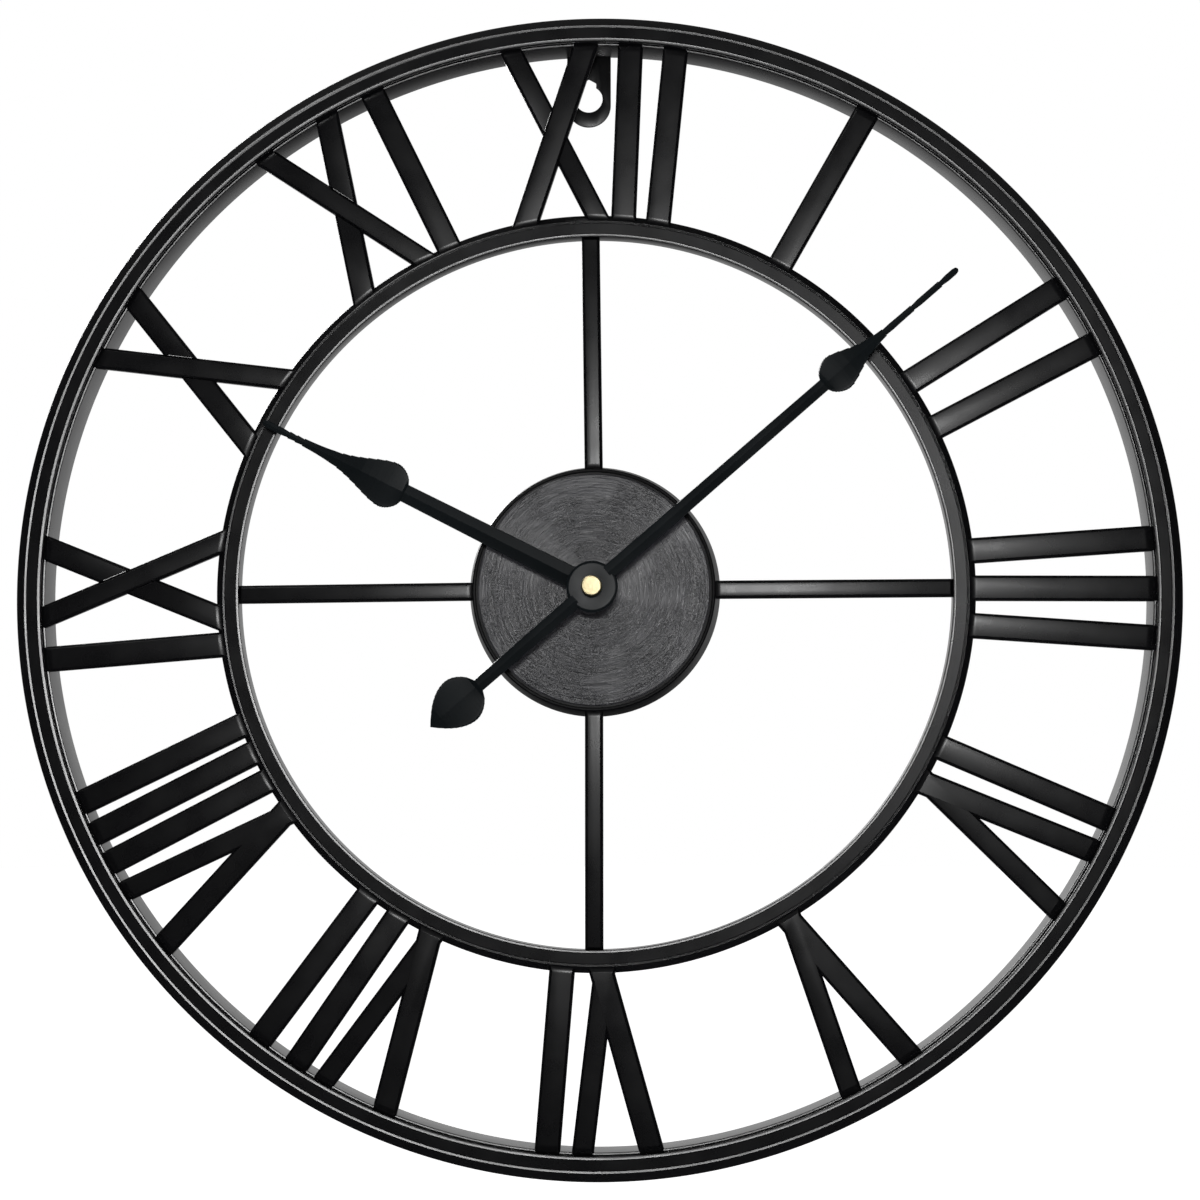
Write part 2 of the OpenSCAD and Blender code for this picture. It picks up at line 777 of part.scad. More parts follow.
module hour_hand() {
    color(SATIN) upright() rotate(-hour_angle) difference() {
        translate([0, 0, hour_z]) linear_extrude(hand_sheet) union() {
            polygon(both_sides(hour_side));
            circle(r = hour_boss_r);
        }
        disc(hour_bush_r, 0, through);
    }
}

module hour_hand_bush() {
    color(BRASS) upright() difference() {
        union() {
            disc(4.5, hour_z - 0.8, hour_z);
            disc(hour_bush_r, hour_z - 2.5, hour_z + hand_sheet + 0.3);
        }
        disc(pipe_ro, 0, through);
    }
}

// Round cap nut that holds the minute hand
module cap_nut() {
    color(BRASS) upright() difference() {
        lathe([
            [0, nut_z], [nut_r - 0.2, nut_z], [nut_r, nut_z + 0.2], [nut_r, depth_total - 1.6],
            [nut_r - 0.4, depth_total - 0.8], [nut_r - 1.2, depth_total - 0.2], [nut_r - 2, depth_total],
            [0, depth_total]
        ]);
        disc(screw_r, 0, 38);
    }
}

outer_ring();
hoop();
inner_ring();
spoke_top();
spoke_right();
spoke_bottom();
spoke_left();
dial_pan();
dial_plate();
hanger_plate();
numeral_01_bar();
numeral_02_bars();
numeral_03_bars();
numeral_04_bar();
numeral_04_v();
numeral_05_v();
numeral_06_v();
numeral_06_bar();
numeral_07_v();
numeral_07_bars();
numeral_08_v();
numeral_08_bars();
numeral_09_bar();
numeral_09_x_bar();
numeral_09_x_halves();
numeral_10_x_bar();
numeral_10_x_halves();
numeral_11_x_bar();
numeral_11_x_halves();
numeral_11_bar();
numeral_12_x_bar();
numeral_12_x_halves();
numeral_12_bars();
movement_case();
movement_cover();
train_plate();
battery_contacts();
clamp_nut();
clamp_washer();
gasket();
coil_bobbin();
coil_winding();
stator();
circuit_board();
quartz_crystal();
rotor();
fifth_wheel();
second_wheel();
third_wheel();
center_wheel();
minute_arbor();
minute_wheel();
hour_wheel();
setting_knob();
hour_hand();
hour_hand_bush();
minute_hand();
minute_hand_bush();
cap_nut();
battery();
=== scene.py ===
"""Open-frame wall clock: the visual model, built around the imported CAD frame.

Lengths are in millimetres in the dial frame (x right, y up to twelve, z forward from the
wall) and become metres in the row frame, in which the dial faces -Y, in place().
"""
import json
import math
import random

import bmesh
import bpy
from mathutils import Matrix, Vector


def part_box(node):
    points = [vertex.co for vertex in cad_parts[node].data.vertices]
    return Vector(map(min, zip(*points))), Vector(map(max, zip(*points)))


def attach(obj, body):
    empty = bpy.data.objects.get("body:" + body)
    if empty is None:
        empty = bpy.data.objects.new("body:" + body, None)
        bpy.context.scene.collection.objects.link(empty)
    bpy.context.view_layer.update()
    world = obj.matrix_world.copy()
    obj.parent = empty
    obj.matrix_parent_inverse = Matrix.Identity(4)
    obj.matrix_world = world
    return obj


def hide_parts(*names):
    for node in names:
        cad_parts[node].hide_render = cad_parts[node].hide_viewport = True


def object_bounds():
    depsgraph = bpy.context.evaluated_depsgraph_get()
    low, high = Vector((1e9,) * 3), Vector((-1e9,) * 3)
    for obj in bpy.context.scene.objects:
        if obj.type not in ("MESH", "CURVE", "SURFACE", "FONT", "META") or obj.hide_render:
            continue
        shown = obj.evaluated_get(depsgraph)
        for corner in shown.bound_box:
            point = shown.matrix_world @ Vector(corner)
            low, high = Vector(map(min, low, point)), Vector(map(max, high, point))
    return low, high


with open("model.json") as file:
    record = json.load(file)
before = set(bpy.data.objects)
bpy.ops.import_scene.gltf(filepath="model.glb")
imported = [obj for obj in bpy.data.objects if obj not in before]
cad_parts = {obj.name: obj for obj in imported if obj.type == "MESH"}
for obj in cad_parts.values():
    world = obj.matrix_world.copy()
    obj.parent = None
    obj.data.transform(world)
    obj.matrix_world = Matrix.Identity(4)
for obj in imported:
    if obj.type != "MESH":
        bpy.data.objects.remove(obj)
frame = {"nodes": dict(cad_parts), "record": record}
CAD_LOW, CAD_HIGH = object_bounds()

MM = 0.001
WALL = CAD_HIGH.y / MM
TAU = 2 * math.pi
BODY_OF = {node: body for body, nodes in frame["record"]["behaviour"]["bodies"].items() for node in nodes}
SLOT_OF = {part["node"]: part["material_slot"] for part in frame["record"]["subparts"]}


# --- Places and sizes read from the frame ---

def place(x, y, z):
    """A point of the dial frame, in mm, in the row frame, in metres."""
    return Vector((x * MM, (WALL - z) * MM, y * MM))


def dial_points(node):
    """A CAD node's vertices in the dial frame, in mm."""
    return [(v.co.x / MM, v.co.z / MM, WALL - v.co.y / MM) for v in frame["nodes"][node].data.vertices]


def radii(node):
    """Smallest and largest distance of a CAD node from the hands' axis, in mm."""
    found = [math.hypot(x, y) for x, y, z in dial_points(node)]
    return min(found), max(found)


def heights(node):
    """Rear and front height of a CAD node above the wall, in mm."""
    found = [z for x, y, z in dial_points(node)]
    return min(found), max(found)


# --- Mesh helpers ---

def add_object(name, bm, node, material, smooth_angle=35, flat=()):
    """Makes the mesh into a piece that stands for a CAD node and rides on its body."""
    mesh = bpy.data.meshes.new(name)
    bmesh.ops.recalc_face_normals(bm, faces=bm.faces)
    for face in bm.faces:
        face.smooth = face not in flat
    bm.to_mesh(mesh)
    bm.free()
    mesh.materials.append(material)
    mesh.set_sharp_from_angle(angle=math.radians(smooth_angle))
    piece = bpy.data.objects.new(name, mesh)
    bpy.context.scene.collection.objects.link(piece)
    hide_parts(node)
    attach(piece, BODY_OF[node])
    return piece


def rounded(corners, steps=5):
    """A closed outline from (a, b, fillet radius) corners, with each fillet as an arc."""
    outline = []
    count = len(corners)
    for i, (a, b, fillet) in enumerate(corners):
        here = Vector((a, b))
        before = Vector(corners[i - 1][:2]) - here
        after = Vector(corners[(i + 1) % count][:2]) - here
        half = before.angle(after) / 2
        if fillet <= 0 or half > math.radians(89):
            outline.append((a, b))
            continue
        reach = min(fillet / math.tan(half), 0.48 * before.length, 0.48 * after.length)
        start = here + before.normalized() * reach
        stop = here + after.normalized() * reach
        for k in range(steps + 1):
            t = k / steps
            point = start.lerp(here, t).lerp(here.lerp(stop, t), t)
            outline.append((point.x, point.y))
    return outline


def sweep_round(bm, outline, segments, to_point):
    """Turns a closed (radius, height) outline about an axis; to_point places each vertex."""
    rings = []
    for k in range(segments):
        turn = TAU * k / segments
        rings.append([bm.verts.new(to_point(r, turn, h)) for r, h in outline])
    for k in range(segments):
        ring, following = rings[k], rings[(k + 1) % segments]
        for i in range(len(outline)):
            j = (i + 1) % len(outline)
            bm.faces.new((ring[i], following[i], following[j], ring[j]))
    bmesh.ops.remove_doubles(bm, verts=bm.verts, dist=1e-7)
    bmesh.ops.dissolve_degenerate(bm, edges=bm.edges, dist=1e-8)


def lathe(name, node, outline, material, segments=360, centre=(0, 0)):
    """A piece turned about an axis square to the wall."""
    bm = bmesh.new()
    sweep_round(bm, outline, segments, lambda r, turn, h: place(
        centre[0] + r * math.sin(turn), centre[1] + r * math.cos(turn), h))
    return add_object(name, bm, node, material)


def bevelled(bm, low, high, offset, segments):
    """Rounds the edges that bend by low to high degrees, and gives the faces this makes."""
    low, high = math.radians(low), math.radians(high)
    edges = [e for e in bm.edges if e.is_manifold and low < e.calc_face_angle() <= high]
    made = bmesh.ops.bevel(bm, geom=edges, offset=offset * MM, segments=segments, profile=0.5,
                           affect="EDGES", clamp_overlap=True)
    return set(made["faces"])


def refined(name, node, material, bevel, segments=3, angle=25, soft_bend=0.0, pressed=False):
    """A CAD node's own shape with its edges rounded; a pressed part's panels stay flat."""
    bm = bmesh.new()
    bm.from_mesh(frame["nodes"][node].data)
    bmesh.ops.remove_doubles(bm, verts=bm.verts, dist=2e-6)
    bmesh.ops.dissolve_limit(bm, angle_limit=math.radians(0.4), verts=bm.verts, edges=bm.edges)
    bmesh.ops.dissolve_degenerate(bm, edges=bm.edges, dist=2e-5)
    made = set()
    if soft_bend:
        made |= bevelled(bm, 8, angle, soft_bend, segments)
    made |= bevelled(bm, angle, 180, bevel, segments)
    bmesh.ops.remove_doubles(bm, verts=bm.verts, dist=2e-6)
    panels = set(bm.faces) - made if pressed else ()
    return add_object(name, bm, node, material, smooth_angle=40, flat=panels)


# --- Materials ---

def new_material(name, colour, roughness, metallic=0.0, specular=0.5, coat=0.0):
    """A Principled material with its constant values set on the shader."""
    material = bpy.data.materials.new(name)
    material.use_nodes = True
    shader = material.node_tree.nodes["Principled BSDF"]
    shader.inputs["Base Color"].default_value = (*colour, 1)
    shader.inputs["Roughness"].default_value = roughness
    shader.inputs["Metallic"].default_value = metallic
    shader.inputs["Specular IOR Level"].default_value = specular
    shader.inputs["Coat Weight"].default_value = coat
    shader.inputs["Coat Roughness"].default_value = 0.16
    return material, material.node_tree.nodes, material.node_tree.links, shader


def noise(nodes, links, scale, detail=3, stretch=(1, 1, 1)):
    """Noise over the object's own coordinates, with features about 1/scale metres wide."""
    coords = nodes.new("ShaderNodeTexCoord")
    mapping = nodes.new("ShaderNodeMapping")
    mapping.inputs["Scale"].default_value = stretch
    texture = nodes.new("ShaderNodeTexNoise")
    texture.inputs["Scale"].default_value = scale
    texture.inputs["Detail"].default_value = detail
    links.new(coords.outputs["Object"], mapping.inputs["Vector"])
    links.new(mapping.outputs["Vector"], texture.inputs["Vector"])
    return texture.outputs["Fac"]


def ramp(nodes, links, value, stops):
    """A colour ramp through (position, colour) stops."""
    node = nodes.new("ShaderNodeValToRGB")
    for extra in range(len(stops) - 2):
        node.color_ramp.elements.new(0.5)
    for element, (position, colour) in zip(node.color_ramp.elements, stops):
        element.position = position
        element.color = (*colour, 1)
    links.new(value, node.inputs["Fac"])
    return node.outputs["Color"]


def to_range(nodes, links, value, low, high):
    """Maps the middle of a 0..1 value to low..high."""
    node = nodes.new("ShaderNodeMapRange")
    node.inputs["From Min"].default_value = 0.3
    node.inputs["From Max"].default_value = 0.7
    node.inputs["To Min"].default_value = low
    node.inputs["To Max"].default_value = high
    links.new(value, node.inputs["Value"])
    return node.outputs["Result"]


def bump(nodes, links, shader, layers):
    """Chains bump layers of (height value, distance in mm, strength) into the shader's normal."""
    normal = None
    for value, distance, strength in layers:
        node = nodes.new("ShaderNodeBump")
        node.inputs["Distance"].default_value = distance * MM
        node.inputs["Strength"].default_value = strength
        links.new(value, node.inputs["Height"])
        if normal:
            links.new(normal, node.inputs["Normal"])
        normal = node.outputs["Normal"]
    links.new(normal, shader.inputs["Normal"])


def mottled(nodes, links, shader, colour, spread, scale):
    """Varies the base colour a little over the surface."""
    dark = [c * (1 - spread) for c in colour]
    light = [c * (1 + spread) for c in colour]
    cloud = noise(nodes, links, scale)
    links.new(ramp(nodes, links, cloud, [(0.3, dark), (0.7, light)]), shader.inputs["Base Color"])


def painted_metal(name, colour, roughness, specular=0.5, coat=0.0):
    """Satin powder coat: fine orange peel, faint cloudiness and patches of softer gloss."""
    material, nodes, links, shader = new_material(name, colour, roughness, specular=specular, coat=coat)
    mottled(nodes, links, shader, colour, 0.2, 30)
    gloss = noise(nodes, links, 55)
    links.new(to_range(nodes, links, gloss, roughness - 0.04, roughness + 0.05), shader.inputs["Roughness"])
    peel = noise(nodes, links, 1400)
    grit = noise(nodes, links, 5200, detail=2)
    bump(nodes, links, shader, [(peel, 0.008, 0.3), (grit, 0.003, 0.25)])
    return material


def plastic(name, colour, roughness):
    """Moulding, rubber, board or sleeve, all with a fine grain."""
    material, nodes, links, shader = new_material(name, colour, roughness)
    mottled(nodes, links, shader, colour, 0.1, 60)
    grain = noise(nodes, links, 3600, detail=4)
    bump(nodes, links, shader, [(grain, 0.015, 0.4)])
    return material


def plain_metal(name, colour, roughness, stretch):
    """Bare metal with fine marks, long in one direction."""
    material, nodes, links, shader = new_material(name, colour, roughness, metallic=1.0)
    mottled(nodes, links, shader, colour, 0.08, 140)
    marks = noise(nodes, links, 900, detail=4, stretch=stretch)
    links.new(to_range(nodes, links, marks, roughness - 0.08, roughness + 0.1), shader.inputs["Roughness"])
    bump(nodes, links, shader, [(marks, 0.006, 0.4)])
    return material


def about_axis(nodes, links, radial, around):
    """Noise in (radius, angle) about the hands' axis: rings if radial is the larger."""
    coords = nodes.new("ShaderNodeTexCoord")
    split = nodes.new("ShaderNodeSeparateXYZ")
    links.new(coords.outputs["Object"], split.inputs["Vector"])
    flat = nodes.new("ShaderNodeCombineXYZ")
    links.new(split.outputs["X"], flat.inputs["X"])
    links.new(split.outputs["Z"], flat.inputs["Y"])
    length = nodes.new("ShaderNodeVectorMath")
    length.operation = "LENGTH"
    links.new(flat.outputs["Vector"], length.inputs[0])
    turn = nodes.new("ShaderNodeVectorMath")
    turn.operation = "NORMALIZE"
    links.new(flat.outputs["Vector"], turn.inputs[0])
    scaled = nodes.new("ShaderNodeVectorMath")
    scaled.operation = "SCALE"
    scaled.inputs["Scale"].default_value = around
    links.new(turn.outputs["Vector"], scaled.inputs[0])
    spread = nodes.new("ShaderNodeMath")
    spread.operation = "MULTIPLY"
    spread.inputs[1].default_value = radial
    links.new(length.outputs["Value"], spread.inputs[0])
    lifted = nodes.new("ShaderNodeCombineXYZ")
    links.new(spread.outputs["Value"], lifted.inputs["Z"])
    total = nodes.new("ShaderNodeVectorMath")
    total.operation = "ADD"
    links.new(scaled.outputs["Vector"], total.inputs[0])
    links.new(lifted.outputs["Vector"], total.inputs[1])
    texture = nodes.new("ShaderNodeTexNoise")
    texture.inputs["Scale"].default_value = 1.0
    texture.inputs["Detail"].default_value = 3
    links.new(total.outputs["Vector"], texture.inputs["Vector"])
    return texture.outputs["Fac"]


def mix_factor(nodes, links, operation, first, second):
    """One maths step, held within 0..1, between two values or a value and a number."""
    node = nodes.new("ShaderNodeMath")
    node.operation = operation
    node.use_clamp = True
    for socket, value in zip(node.inputs, (first, second)):
        if isinstance(value, (int, float)):
            socket.default_value = value
        else:
            links.new(value, socket)
    return node.outputs["Value"]


def spun_metal(name, colour, roughness):
    """Lacquered disc with the spinning tool's rings and patches of small pits, both as bumps; the base colour
    carries painted shade, darker in the ring grooves and the pits, and painted sheen, lighter on the ring
    ridges.
    """
    material, nodes, links, shader = new_material(name, colour, roughness, specular=0.8)
    rings = about_axis(nodes, links, 1500, 1.6)
    fine = about_axis(nodes, links, 4200, 3.5)
    patches = noise(nodes, links, 30)
    specks = noise(nodes, links, 1700, detail=2)
    rare = ramp(nodes, links, specks, [(0.52, (0, 0, 0)), (0.57, (1, 1, 1))])
    zone = ramp(nodes, links, patches, [(0.46, (0, 0, 0)), (0.56, (1, 1, 1))])
    pits = mix_factor(nodes, links, "MULTIPLY", rare, zone)
    low, high = [c * 0.6 for c in colour], [c * 1.3 for c in colour]
    # painted shade and sheen: the colour follows the rings' bump height, darker in the grooves and lighter on
    # the ridges
    shade = ramp(nodes, links, rings, [(0.34, low), (0.46, colour), (0.60, high)])
    # painted shade in the pits: the colour goes darker where the bump makes hollows
    blend = nodes.new("ShaderNodeMix")
    blend.data_type = "RGBA"
    blend.inputs["B"].default_value = (*[c * 0.35 for c in colour], 1)
    links.new(shade, blend.inputs["A"])
    links.new(pits, blend.inputs["Factor"])
    links.new(blend.outputs["Result"], shader.inputs["Base Color"])
    links.new(to_range(nodes, links, fine, roughness - 0.05, roughness + 0.08), shader.inputs["Roughness"])
    hollow = mix_factor(nodes, links, "SUBTRACT", 1.0, pits)
    bump(nodes, links, shader, [(rings, 0.16, 0.7), (fine, 0.10, 0.8), (hollow, 0.10, 1.0)])
    return material


def hammered_brass(name, colour):
    """Turned brass with a thin bright plating and tiny dents."""
    material, nodes, links, shader = new_material(name, colour, 0.42, metallic=1.0)
    mottled(nodes, links, shader, colour, 0.06, 500)
    dents = noise(nodes, links, 900, detail=2)
    marks = about_axis(nodes, links, 6000, 2)
    bump(nodes, links, shader, [(dents, 0.12, 0.6), (marks, 0.02, 0.4)])
    return material


def wound_wire(name, colour):
    """Enamelled wire, wound side by side along Z, with painted shade darkening the grooves between turns."""
    material, nodes, links, shader = new_material(name, colour, 0.25, metallic=0.9, coat=0.6)
    coords = nodes.new("ShaderNodeTexCoord")
    wave = nodes.new("ShaderNodeTexWave")
    wave.bands_direction = "Z"
    wave.inputs["Scale"].default_value = 1600
    wave.inputs["Distortion"].default_value = 0.4
    links.new(coords.outputs["Object"], wave.inputs["Vector"])
    # painted shade: the colour goes darker where the bump dips between turns
    dark = [c * 0.55 for c in colour]
    shade = ramp(nodes, links, wave.outputs["Fac"], [(0.1, dark), (0.6, colour)])
    links.new(shade, shader.inputs["Base Color"])
    bump(nodes, links, shader, [(wave.outputs["Fac"], 0.05, 0.8)])
    return material


MATERIALS = {
    "frame_black": painted_metal("satin_black_frame", (0.0028, 0.0028, 0.0034), 0.28, coat=0.1),
    "numeral_black": painted_metal("satin_black_numerals", (0.0024, 0.0024, 0.0030), 0.28, coat=0.1),
    "hand_black": painted_metal("satin_black_hands", (0.0040, 0.0060, 0.0072), 0.31, specular=0.2),
    "spun_metal": spun_metal("spun_gunmetal", (0.024, 0.024, 0.0285), 0.31),
    "brass": hammered_brass("pale_brass", (0.95, 0.82, 0.50)),
    "contact_steel": plain_metal("nickel_strip", (0.60, 0.59, 0.56), 0.32, (1, 1, 6)),
    "arbor_steel": plain_metal("turned_steel", (0.58, 0.58, 0.60), 0.24, (1, 8, 1)),
    "case_plastic": plastic("black_moulding", (0.012, 0.012, 0.013), 0.48),
    "knob_plastic": plastic("knob_moulding", (0.020, 0.020, 0.021), 0.40),
    "bobbin_plastic": plastic("natural_moulding", (0.62, 0.59, 0.52), 0.42),
    "gear_plastic": plastic("acetal_gears", (0.78, 0.76, 0.70), 0.33),
    "gasket_rubber": plastic("matt_rubber", (0.015, 0.015, 0.015), 0.75),
    "copper_wire": wound_wire("copper_winding", (0.62, 0.25, 0.10)),
    "board": plastic("solder_mask", (0.015, 0.11, 0.035), 0.30),
    "battery_sleeve": plastic("cell_sleeve", (0.030, 0.030, 0.034), 0.28),
}
RING_PAINT = painted_metal("satin_black_rings", (0.0028, 0.0028, 0.0034), 0.28, coat=0.5)
PAN_PAINT = painted_metal("matt_black_pan", (0.0020, 0.0020, 0.0025), 0.40, specular=0.25)
CELL_END = plain_metal("cell_end_steel", (0.62, 0.61, 0.60), 0.28, (1, 1, 1))
CELL_BAND = plastic("cell_band", (0.55, 0.28, 0.08), 0.28)


# --- Rings, pan and disc ---

BEAD = 0.4
SHEET = 1.0


def outer_ring():
    """Pressed ring, open at the back, with a rolled bead at each edge of its face."""
    lip, edge = radii("outer_ring")
    back, front = heights("outer_ring")
    face = front - BEAD
    shoulder = edge - 4.1
    corners = [
        (edge, back, 0.2), (edge, front - 3.5, 0.8), (shoulder, front, 0.25),
        (shoulder - 0.9, front - 0.24, 0.2), (shoulder - 1.3, front - 0.1, 0.2),
        (lip + 1.7, front - 0.1, 0.3), (lip + 1.3, front, 0.2), (lip, front - 0.27, 0.4),
        (lip, front - 10, 0.3), (lip + SHEET, front - 10, 0.2),
        (lip + SHEET, face - SHEET, 0.3), (shoulder - 0.5, face - SHEET, 0.6),
        (edge - SHEET, front - 4, 1.0), (edge - SHEET, back, 0.2),
    ]
    lathe("outer_ring_shell", "outer_ring", rounded(corners), RING_PAINT, 540)


def hoop():
    """Flat strip behind the outer ring's lip, with a rounded front edge."""
    inner, outer = radii("hoop")
    back, front = heights("hoop")
    corners = [
        (outer, back, 0.2), (outer, front - 0.1, 0.2), (inner + 0.8, front, 0.3), (inner, front - 0.17, 0.3),
        (inner, back, 0.3),
    ]
    lathe("hoop_strip", "hoop", rounded(corners), RING_PAINT, 540)


def inner_ring():
    """Smaller pressed ring with a sloped outer edge and beads like the outer ring's."""
    inner, outer = radii("inner_ring")
    back, front = heights("inner_ring")
    face = front - BEAD
    shoulder = outer - 2.7
    corners = [
        (outer, back, 0.3), (outer, front - 2.5, 0.6), (shoulder, front - 0.16, 0.2),
        (shoulder - 0.3, front, 0.2), (shoulder - 1.0, front - 0.2, 0.2), (shoulder - 1.4, front - 0.08, 0.2),
        (inner + 1.3, front - 0.08, 0.2), (inner + 1.1, front, 0.2), (inner, front - 0.14, 0.3),
        (inner, back, 0.3), (inner + SHEET, back, 0.3),
        (inner + SHEET, face - SHEET, 0.3), (shoulder - 0.5, face - SHEET, 0.4),
        (outer - SHEET, front - 3, 0.8), (outer - SHEET, back, 0.3),
    ]
    lathe("inner_ring_shell", "inner_ring", rounded(corners), RING_PAINT, 420)


def dial_pan():
    """Flared pan with a rolled rim, and a ledge inside it for the disc."""
    ledge, outer = radii("dial_pan")
    back, front = heights("dial_pan")
    seat = heights("dial_plate")[0]
    rim = max(math.hypot(x, y) for x, y, z in dial_points("dial_pan") if z > front - 0.5)
    well = rim - 1.5
    thin = 0.8
    corners = [
        (outer, back, 0.2), (rim + 0.1, front - 0.5, 0.5), (rim - 0.5, front, 0.4), (well, front - 0.2, 0.35),
        (well, seat, 0.1), (ledge, seat, 0.1), (ledge, seat - thin, 0.1),
        (rim - SHEET, seat - thin, 0.5), (outer - SHEET, back, 0.2),
    ]
    lathe("dial_pan_shell", "dial_pan", rounded(corners), PAN_PAINT, 300)


def dial_plate():
    """Spun disc: very shallow tool rings pressed into its face."""
    edge = radii("dial_plate")[1]
    back, front = heights("dial_plate")
    hole = radii("clamp_washer")[0] + 0.1
    rng = random.Random(7)
    crown = 0.12
    outline = [(edge, back), (edge, front - crown - 0.28), (edge - 0.25, front - crown - 0.06)]
    radius = edge - 0.6
    while radius > hole + 0.8:
        dome = crown * (radius / edge) ** 2
        outline.append((radius, front - dome - rng.uniform(0.0, 0.028)))
        radius -= rng.uniform(0.35, 0.8)
    outline += [(hole, front), (hole, back)]
    lathe("spun_disc", "dial_plate", outline, MATERIALS["spun_metal"], 240)


# --- Numerals, spokes and hanger: the CAD's pressed shapes with rolled edges ---

def pressed_parts():
    """Numeral trays and spokes, with the soft edges of coated sheet."""
    for node in sorted(SLOT_OF):
        if node.endswith("_v"):
            refined(node + "_tray", node, MATERIALS["numeral_black"], 0.4, angle=10, pressed=True)
        elif node.startswith("numeral_"):
            refined(node + "_tray", node, MATERIALS["numeral_black"], 0.4, soft_bend=0.8, pressed=True)
        elif node.startswith("spoke_"):
            refined(node + "_tray", node, MATERIALS["frame_black"], 0.4, soft_bend=0.8, pressed=True)
    refined("hanger_tab", "hanger_plate", MATERIALS["frame_black"], 0.18)


# --- Hands ---

MINUTE_BOSS = 10.95
HOUR_BOSS = 9.5
MINUTE_BUSH = 2.6


def hand_outline(node, boss):
    """Distances and half-widths along a hand beyond its boss, both ways, from the CAD node."""
    points = [(x, y) for x, y, z in dial_points(node)]
    tip = max(points, key=lambda p: math.hypot(*p))
    along = Vector(tip).normalized()
    across = Vector((along.y, -along.x))
    found = {}
    for point in points:
        s = Vector(point).dot(along)
        w = abs(Vector(point).dot(across))
        if abs(s) > boss + 0.3:
            key = round(s, 2)
            found[key] = max(found.get(key, 0), w)
    ahead = sorted((s, w) for s, w in found.items() if s > 0)
    behind = sorted(((s, w) for s, w in found.items() if s < 0), reverse=True)
    return along, across, ahead, behind


def crease_height(width):
    """How far the fold stands above the edges, at a half-width."""
    return min(0.19 * width, 1.15)


def add_blade(bm, sections, along, across, base, thickness):
    """A folded blade through (distance, half-width) sections, its upper half lying flatter."""
    rows = []
    for s, w in sections:
        fold = crease_height(w)
        ridge = base + 0.8 * thickness + 1.12 * fold
        left, right = (base + lift * fold for lift in ((0.12, 0.6) if across.y > 0 else (0.6, 0.12)))
        shape = [
            (-w, left), (-0.94 * w, left + 0.72 * thickness), (-0.8 * w, left + 0.8 * thickness),
            (0, ridge), (0.8 * w, right + 0.8 * thickness), (0.94 * w, right + 0.72 * thickness),
            (w, right), (0, ridge - 0.8 * thickness),
        ]
        centre = along * s
        rows.append([
            bm.verts.new(place(centre.x + across.x * u, centre.y + across.y * u, z)) for u, z in shape
        ])
    for row, following in zip(rows, rows[1:]):
        for i in range(len(row)):
            j = (i + 1) % len(row)
            bm.faces.new((row[i], row[j], following[j], following[i]))
    bm.faces.new(rows[0])
    bm.faces.new(rows[-1])


def blade_sections(samples, start, shaft):
    """The CAD's samples with a closer spacing, from inside the boss to the tip."""
    dense = [(start, shaft)]
    previous = (start, shaft)
    for s, w in samples:
        steps = max(1, int(abs(s - previous[0]) / 6))
        for k in range(1, steps + 1):
            t = k / steps
            dense.append((previous[0] + (s - previous[0]) * t, previous[1] + (w - previous[1]) * t))
        previous = (s, w)
    return dense


def hand(name, node, boss_node, boss, shaft, tail_shaft=None):
    """A folded sheet hand: blade, tail where it has one, and a flat boss round the bush."""
    along, across, ahead, behind = hand_outline(node, boss)
    back, front = heights(node)
    thickness = front - back
    hole = radii(boss_node)[1] - 1.2 if node == "hour_hand" else MINUTE_BUSH
    bm = bmesh.new()
    add_blade(bm, blade_sections(ahead, boss - 2.2, shaft), along, across, back, thickness)
    if tail_shaft:
        add_blade(bm, blade_sections(behind, 2.2 - boss, tail_shaft), along, across, back, thickness)
    rim = rounded([
        (hole, back, 0), (boss, back, 0.15), (boss, front - 0.1, 0.35), (boss - 1.1, front + 0.12, 0.5),
        (hole, front + 0.12, 0.1),
    ])
    sweep_round(bm, rim, 128, lambda r, turn, h: place(r * math.sin(turn), r * math.cos(turn), h))
    return add_object(name, bm, node, MATERIALS["hand_black"], smooth_angle=8)


def hands():
    """Both hands, their bushes and the cap nut."""
    hand("minute_hand_blade", "minute_hand", "minute_hand_bush", MINUTE_BOSS, shaft=3.2, tail_shaft=3.1)
    hand("hour_hand_blade", "hour_hand", "hour_hand_bush", HOUR_BOSS, shaft=4.6)
    back, front = heights("cap_nut")
    outer = radii("cap_nut")[1]
    corners = [
        (0, back, 0), (outer - 0.3, back, 0.2), (outer, back + 0.4, 0.2), (outer, front - 0.4, 0.3),
        (outer - 0.5, front - 0.08, 0.3), (0, front, 0),
    ]
    lathe("cap_nut_dome", "cap_nut", rounded(corners), MATERIALS["brass"], 96)


# --- Movement ---

def movement_shells():
    """Case, cover and knob with the soft edges of mouldings."""
    refined("movement_case_shell", "movement_case", MATERIALS["case_plastic"], 0.5, segments=4)
    refined("movement_cover_shell", "movement_cover", MATERIALS["case_plastic"], 0.25)
    refined("setting_knob_moulding", "setting_knob", MATERIALS["knob_plastic"], 0.08, segments=2, angle=40)
    refined("clamp_nut_hex", "clamp_nut", MATERIALS["brass"], 0.2)


